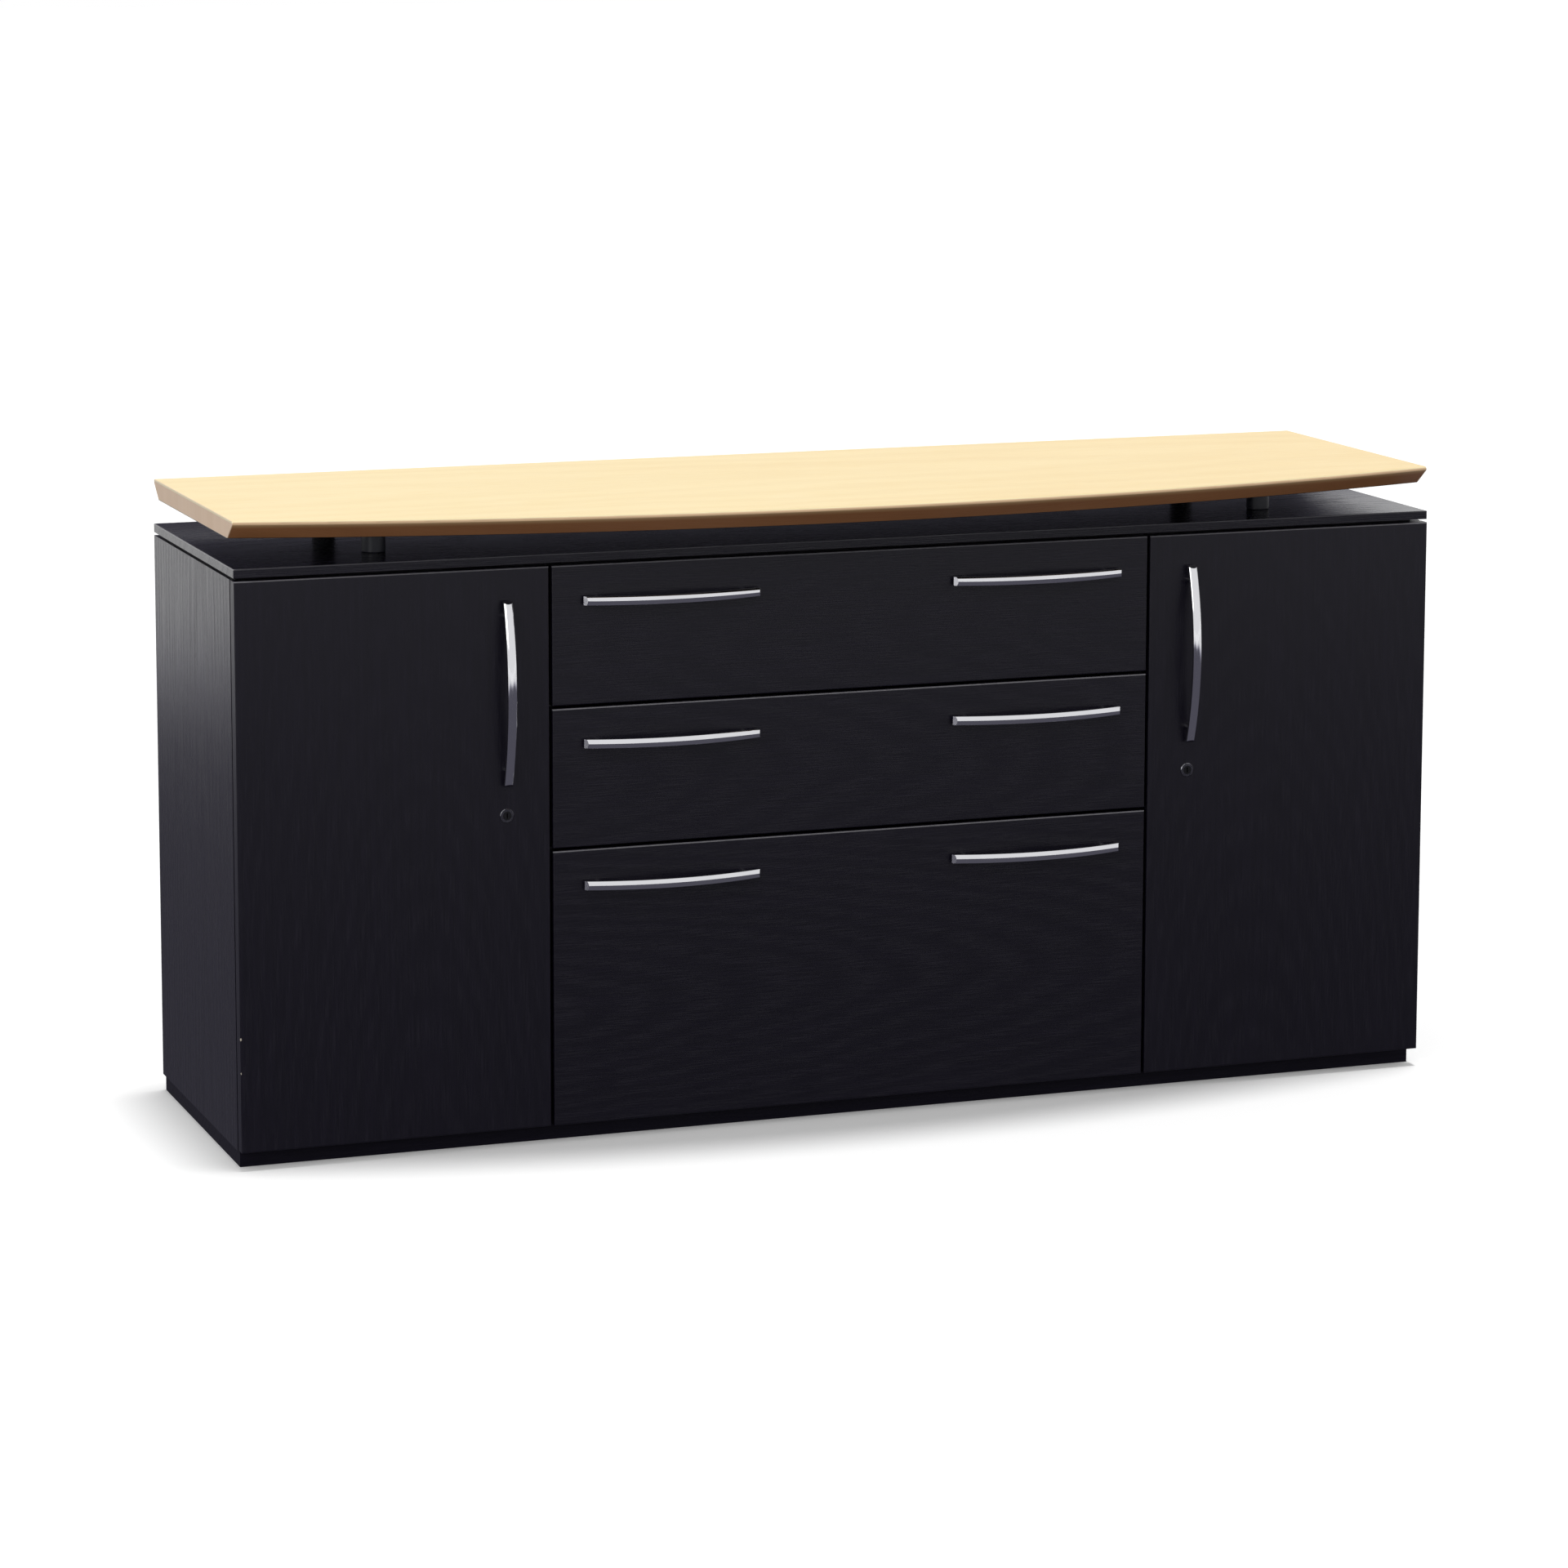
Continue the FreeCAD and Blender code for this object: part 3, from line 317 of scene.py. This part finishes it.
def maple_top(name):
    """Pale maple veneer: a brown solid lipping on the undercut, darker downwards as painted shade;
    painted shade on the underside; a painted highlight and painted shade on the nose.
    """
    g = Graph(name)
    x, y, z = g.place()
    rings = cathedral(g, x, y, centre=0.05, start=-1.6, spread=0.07, pitch=0.045, wander=0.09)
    fine = pores(g, x, y, width=0.0016, length=0.06, low=0.35, high=0.7)
    cloud = g.stretched_noise(x, y, z, scales=(3.0, 11.0, 1.0), detail=4.0)
    tone = g.plus(g.times(rings, 0.28), g.plus(g.times(fine, 0.22), g.times(cloud, 0.5)))

    # The board is warmer to the right and flecked, with browner ends.
    warm = g.ramp(g.plus(x, g.times(cloud, 0.9)), low=-0.1, high=1.5)
    board = g.mix(g.times(warm, WARM_SHARE), g.mix(tone, *MAPLE), g.mix(tone, *WARM_MAPLE))
    short = pores(g, x, y, width=0.0030, length=0.030, low=0.62, high=0.74)
    fleck = g.ramp(short, low=0.2, high=0.9)
    board = g.mix(g.times(fleck, FLECK_SHARE), board, MAPLE_FLECK)
    ends = g.ramp(g.math("ABSOLUTE", x), *END_BAND)
    board = g.mix(ends, board, g.mix(tone, *MAPLE_END))

    # The undercut starts at the nose's lower edge. The nose gets a painted highlight at its top and
    # painted shade below it.
    inner = g.less(1.0, ends)
    under = g.less(UNDERCUT_TOP_Z, z)
    painted_highlight = g.times(g.ramp(under, *NOSE_HIGHLIGHT_START), g.ramp(under, *NOSE_HIGHLIGHT_END))
    board = g.mix(g.times(painted_highlight, NOSE_HIGHLIGHT_SHARE), board, NOSE_HIGHLIGHT)
    board = g.mix(g.times(g.ramp(under, *NOSE_SHADE_BAND), inner), board, NOSE_SHADE)
    # The undercut: a brown lipping, darker downwards as painted shade.
    lipping_and_shade = g.mix(g.ramp(under, *UNDERCUT_SHADE_BAND), g.mix(tone, *UNDERCUT_EDGE), g.mix(tone, *UNDERCUT))
    shade = g.mix(g.times(g.ramp(under, *UNDERCUT_BAND), inner), board, lipping_and_shade)
    # The underside gets painted shade.
    shade = g.mix(g.ramp(z, *UNDERSIDE_SHADE_BAND), shade, g.mix(tone, *UNDERSIDE_SHADE))
    relief = g.bump(g.times(fine, -1.0), strength=0.12, distance=0.0002,
                    normal=nose_normal(g, y, z, under, inner))
    return g.finish(Base_Color=shade, Roughness=g.between(fine, low=0.36, high=0.46),
                    Specular_IOR_Level=0.3, Normal=relief)


def drawer_board(name, grain):
    """Pale lacquered board for the drawer boxes."""
    g = Graph(name)
    along, across = grain_axes(g, grain)
    fine = pores(g, along, across, width=0.0018, length=0.07, low=0.35, high=0.7)
    broad = pores(g, along, across, width=0.012, length=0.3, low=0.3, high=0.75)
    shade = g.mix(g.times(g.plus(fine, broad), 0.5), *PALE_BOARD)
    return g.finish(Base_Color=shade, Roughness=g.between(fine, low=0.42, high=0.55),
                    Normal=g.bump(fine, strength=0.15, distance=0.0002))


# Metal and paint

def chrome(name, cut_highlight=False):
    """Polished chrome with faint handling marks. Chosen end cuts lean forwards in their shading,
    are dulled, and are painted brighter as a painted highlight.
    """
    g = Graph(name)
    spot = g.spot()
    smear = g.noise(spot, scale=38.0, detail=3.0)
    scratch = g.noise(spot, scale=900.0, detail=2.0)
    shade = g.mix(smear, *CHROME)
    rough = g.plus(g.between(smear, low=0.04, high=0.09), g.times(scratch, 0.02))
    normal = None
    if cut_highlight:
        normal = g.facing()
        sideways = g.add("ShaderNodeSeparateXYZ", {0: normal}).outputs[0]
        cut = g.ramp(g.math("ABSOLUTE", sideways), *CUT_TURN)
        normal = g.lean(g.times(cut, CUT_LEAN), normal, (0.0, -1.0, 0.0))
        rough = g.plus(rough, g.times(cut, CUT_DULLNESS))
        # The end cuts are painted brighter: a painted highlight
        shade = g.mix(cut, shade, CUT_HIGHLIGHT_CHROME)
    return g.finish(Base_Color=shade, Metallic=1.0, Roughness=rough,
                    Normal=g.bump(scratch, strength=0.02, distance=0.0001, normal=normal))


def plated_steel(name):
    """Zinc-plated steel with fine brushed streaks and dull patches."""
    g = Graph(name)
    brushed = g.stretched_noise(*g.place(), scales=(1400.0, 60.0, 1400.0), detail=2.0)
    patch = g.noise(g.spot(), scale=90.0, detail=3.0)
    rough = g.plus(g.between(patch, low=0.24, high=0.36), g.times(brushed, 0.12))
    return g.finish(Base_Color=g.mix(patch, *ZINC), Metallic=1.0, Roughness=rough,
                    Normal=g.bump(brushed, strength=0.08, distance=0.0001))


def black_nickel(name):
    """Dark polished plating on the locks, dulled in patches by keys."""
    g = Graph(name)
    patch = g.noise(g.spot(), scale=240.0, detail=3.0)
    return g.finish(Base_Color=g.mix(patch, *BLACK_NICKEL), Metallic=1.0,
                    Roughness=g.between(patch, low=0.12, high=0.24),
                    Normal=g.bump(patch, strength=0.05, distance=0.0001))


def satin_paint(name, shades, rough_low, rough_high):
    """Dark satin paint with a faint orange-peel surface."""
    g = Graph(name)
    spot = g.spot()
    peel = g.noise(spot, scale=700.0, detail=2.0)
    patch = g.noise(spot, scale=60.0, detail=3.0)
    return g.finish(Base_Color=g.mix(patch, *shades),
                    Roughness=g.between(patch, rough_low, rough_high), Specular_IOR_Level=0.4,
                    Normal=g.bump(peel, strength=0.1, distance=0.0001))


# Materials on the nodes

def wear(node, material):
    """Give a node's whole surface one material."""
    slots = NODES[node].data.materials
    slots.clear()
    slots.append(material)


def dress_veneers():
    """Black veneer on the fronts and the carcass, each with its own run of grain."""
    front_relief = 0.16
    # Each line's share is the strength of a painted highlight along a top edge, weaker on edges in
    # the shade under the cap.
    top_line = (0.55, FRONTS_TOP, FRONT_FACE)
    wear("left_door", black_veneer(
        "left_door_veneer", "Z", centre=-0.72, start=-0.35, spread=0.20, relief=front_relief,
        lines=[top_line], chips=DOOR_CHIPS))
    wear("right_door", black_veneer(
        "right_door_veneer", "Z", centre=0.40, start=-0.40, spread=0.21, relief=front_relief,
        lines=[top_line]))
    for side, centre in (("left", -0.78), ("right", 0.82)):
        wear(side + "_side_panel", black_veneer(
            side + "_side_veneer", "Z", centre=centre, start=-0.6, spread=0.05, relief=0.35,
            rough=0.26, shine=0.5, stretch=4.0))
    drawers = (("lower_drawer", 0.02, -0.75, (0.8, LOWER_DRAWER_TOP, FRONT_FACE)),
               ("middle_drawer", 0.30, -0.9, (0.9, MIDDLE_DRAWER_TOP, FRONT_FACE)),
               ("upper_drawer", 0.47, 0.95, top_line))
    for drawer, centre, start, line in drawers:
        wear(drawer + "_front", black_veneer(
            drawer + "_veneer", "X", centre=centre, start=start, spread=0.15,
            relief=front_relief, lines=[line]))
    level_grain = {"grain": "X", "centre": 0.72, "start": 1.3, "spread": 0.1}
    # The cap's edges get weaker painted highlight lines.
    cap_lines = [(0.2, CAP_TOP, CAP_FACE), (0.5, CAP_TOP, CAP_LEFT_END)]
    wear("cap_panel", black_veneer("cap_veneer", relief=0.12, rough=0.2, lines=cap_lines,
                                   **level_grain))
    wear("plinth_frame", black_veneer("plinth_veneer", relief=0.2, rough=0.42, shine=0.15,
                                      **level_grain))
    level = black_veneer("level_veneer", relief=0.2, **level_grain)
    for node in ("spacer_panel", "carcass_top", "bottom_panel", "left_shelf", "right_shelf"):
        wear(node, level)
    inner = black_veneer("inner_veneer", "Z", centre=0.3, start=-0.5, spread=0.16, relief=0.2)
    for node in ("left_divider", "right_divider", "back_panel"):
        wear(node, inner)


def dress_fittings():
    """The wooden top, its posts, the locks, handles and hinges, and the drawer boxes."""
    wear("wood_top", maple_top("maple"))
    wear("top_posts", satin_paint("post_paint", POST_PAINT, rough_low=0.32, rough_high=0.42))
    lock_case = black_nickel("black_nickel")
    lock_plug = satin_paint("lock_paint", LOCK_PAINT, rough_low=0.14, rough_high=0.22)
    steel = plated_steel("plated_steel")
    upright_chrome = chrome("upright_chrome")
    # The drawer handles' end cuts get a painted highlight
    level_chrome = chrome("level_chrome", cut_highlight=True)
    long_board = drawer_board("long_board", "Y")
    cross_board = drawer_board("cross_board", "X")
    for side in ("left", "right"):
        wear(side + "_door_handle", upright_chrome)
        wear(side + "_lock_case", lock_case)
        wear(side + "_lock_plug", lock_plug)
        for node in ("door_handle_screws", "hinge_cups", "hinge_links"):
            wear(f"{side}_{node}", steel)
    for node in ("post_bolts", "shelf_pins", "hinge_arms", "hinge_plates", "lock_strikes"):
        wear(node, steel)
    for drawer in ("lower_drawer", "middle_drawer", "upper_drawer"):
        wear(drawer + "_handles", level_chrome)
        wear(drawer + "_back", cross_board)
        for node in ("sides", "bottom"):
            wear(f"{drawer}_{node}", long_board)
        for node in ("handle_screws", "cabinet_rails", "middle_rails", "drawer_rails"):
            wear(f"{drawer}_{node}", steel)


# Stage

def seen_share(tree):
    """1 for rays that show the background itself or show it in metal, glass or gloss."""
    path = tree.nodes.new("ShaderNodeLightPath")
    total = path.outputs["Is Camera Ray"]
    for name in ("Is Glossy Ray", "Is Transmission Ray"):
        either = tree.nodes.new("ShaderNodeMath")
        either.operation = "MAXIMUM"
        tree.links.new(total, either.inputs[0])
        tree.links.new(path.outputs[name], either.inputs[1])
        total = either.outputs[0]
    return total


def make_world(light):
    """White where it shows, and a softer white as light."""
    world = bpy.data.worlds.new("studio")
    bpy.context.scene.world = world
    world.use_nodes = True
    tree = world.node_tree
    back = tree.nodes["Background"]
    back.inputs["Color"].default_value = WHITE
    level = tree.nodes.new("ShaderNodeMapRange")
    level.inputs["To Min"].default_value = light
    level.inputs["To Max"].default_value = 1.0
    tree.links.new(seen_share(tree), level.inputs["Value"])
    tree.links.new(level.outputs["Result"], back.inputs["Strength"])


def stage_plane(name, half, spot, material, tilt=0.0):
    """A sheet of two half sizes that belongs to the studio, level or tilted about X."""
    mesh = bpy.data.meshes.new(name)
    wide, deep = half
    corners = [(-wide, -deep, 0.0), (wide, -deep, 0.0), (wide, deep, 0.0), (-wide, deep, 0.0)]
    mesh.from_pydata(corners, [], [(0, 1, 2, 3)])
    mesh.materials.append(material)
    sheet = bpy.data.objects.new(name, mesh)
    sheet.location = spot
    sheet.rotation_euler.x = tilt
    bpy.context.scene.collection.objects.link(sheet)
    return sheet


def make_floor(half, spot, lift, bounce):
    """A wide pale floor: it shows white, keeps the shadow, and throws little light back up."""
    g = Graph("floor_paper")
    seen = seen_share(g.tree)
    g.finish(Base_Color=g.mix(seen, colour(bounce, bounce, bounce), WHITE), Roughness=0.9,
             Specular_IOR_Level=0.0, Emission_Color=WHITE,
             Emission_Strength=g.between(seen, 0.0, lift))
    stage_plane("floor", half, spot, g.material)


def make_flag(name, half, spot, fades, dark, tilt=0.0):
    """A dark cloth for reflections only, whose light rises to the white room's past its fades."""
    g = Graph(name + "_cloth")
    axes = dict(zip("XYZ", g.place()))
    far = 0.0
    for axis, start, end in fades:
        far = g.math("MAXIMUM", far, g.ramp(axes[axis], start, end))
    g.finish(Base_Color=BLACK, Specular_IOR_Level=0.0, Emission_Color=g.mix(far, CLOTH, WHITE),
             Emission_Strength=g.between(far, dark, 1.0))
    flag = stage_plane(name, half, spot, g.material, tilt)
    flag.visible_camera = False
    flag.visible_diffuse = False
    flag.visible_shadow = False
    flag.visible_transmission = False


def soft_box(name, spot, target, width, height, power):
    """A large soft lamp that faces a point."""
    data = bpy.data.lights.new(name, "AREA")
    data.shape = "RECTANGLE"
    data.size = width
    data.size_y = height
    data.energy = power
    lamp = bpy.data.objects.new(name, data)
    lamp.location = spot
    aim = Vector(target) - Vector(spot)
    lamp.rotation_euler = aim.to_track_quat("-Z", "Y").to_euler()
    bpy.context.scene.collection.objects.link(lamp)


def overhead(strength, spread, tilt_x, tilt_y):
    """An even light from above, soft enough for a blurred shadow. Angles are degrees."""
    data = bpy.data.lights.new("overhead", "SUN")
    data.energy = strength
    data.angle = math.radians(spread)
    lamp = bpy.data.objects.new("overhead", data)
    lamp.rotation_euler = (math.radians(tilt_x), math.radians(tilt_y), 0.0)
    bpy.context.scene.collection.objects.link(lamp)


def make_camera():
    """The camera solved from the photograph's straight edges."""
    photo_size = 1920.0
    focal_pixels = 6102.4
    centre_row = 688.6
    spot = (-2.1936, -5.9555, 1.6234)
    yaw = math.radians(19.889)
    pitch = math.radians(-8.336)
    roll = math.radians(0.096)
    forward = Vector((math.sin(yaw) * math.cos(pitch), math.cos(yaw) * math.cos(pitch),
                      math.sin(pitch)))
    level = Vector((math.cos(yaw), -math.sin(yaw), 0.0))
    upright = level.cross(forward)
    right = level * math.cos(roll) + upright * math.sin(roll)
    up = right.cross(forward)
    data = bpy.data.cameras.new("camera")
    data.sensor_width = 36.0
    data.lens = focal_pixels / photo_size * data.sensor_width
    data.shift_y = (centre_row - photo_size / 2.0) / photo_size
    data.clip_start = 0.1
    data.clip_end = 200.0
    camera = bpy.data.objects.new("camera", data)
    turn = Matrix((right, up, -forward)).transposed().to_4x4()
    camera.matrix_world = Matrix.Translation(spot) @ turn
    bpy.context.scene.collection.objects.link(camera)
    bpy.context.scene.camera = camera


dress_veneers()
dress_fittings()
make_world(light=0.52)
make_floor(half=(40.0, 40.0), spot=(0.0, 0.0, -0.0004), lift=0.12, bounce=0.3)
make_flag("floor_flag", half=(9.0, 9.0), spot=(0.0, 0.0, -0.0002), dark=0.105,
          fades=(("Y", -4.6, -7.5), ("Y", 2.9, 4.3), ("X", 3.2, 5.2), ("X", -3.2, -5.2)))
make_flag("back_flag", half=(0.95, 0.045), spot=(0.155, 0.33, 0.752), dark=0.11,
          fades=(("X", 0.66, 0.95),), tilt=math.radians(90.0))
overhead(strength=1.6, spread=9.0, tilt_x=0.6, tilt_y=3.0)
soft_box("key", spot=(-3.0, -2.2, 1.8), target=(-0.6, 0.0, 0.6), width=1.6, height=1.6, power=20.0)
make_camera()
bpy.context.scene.view_settings.view_transform = "Standard"
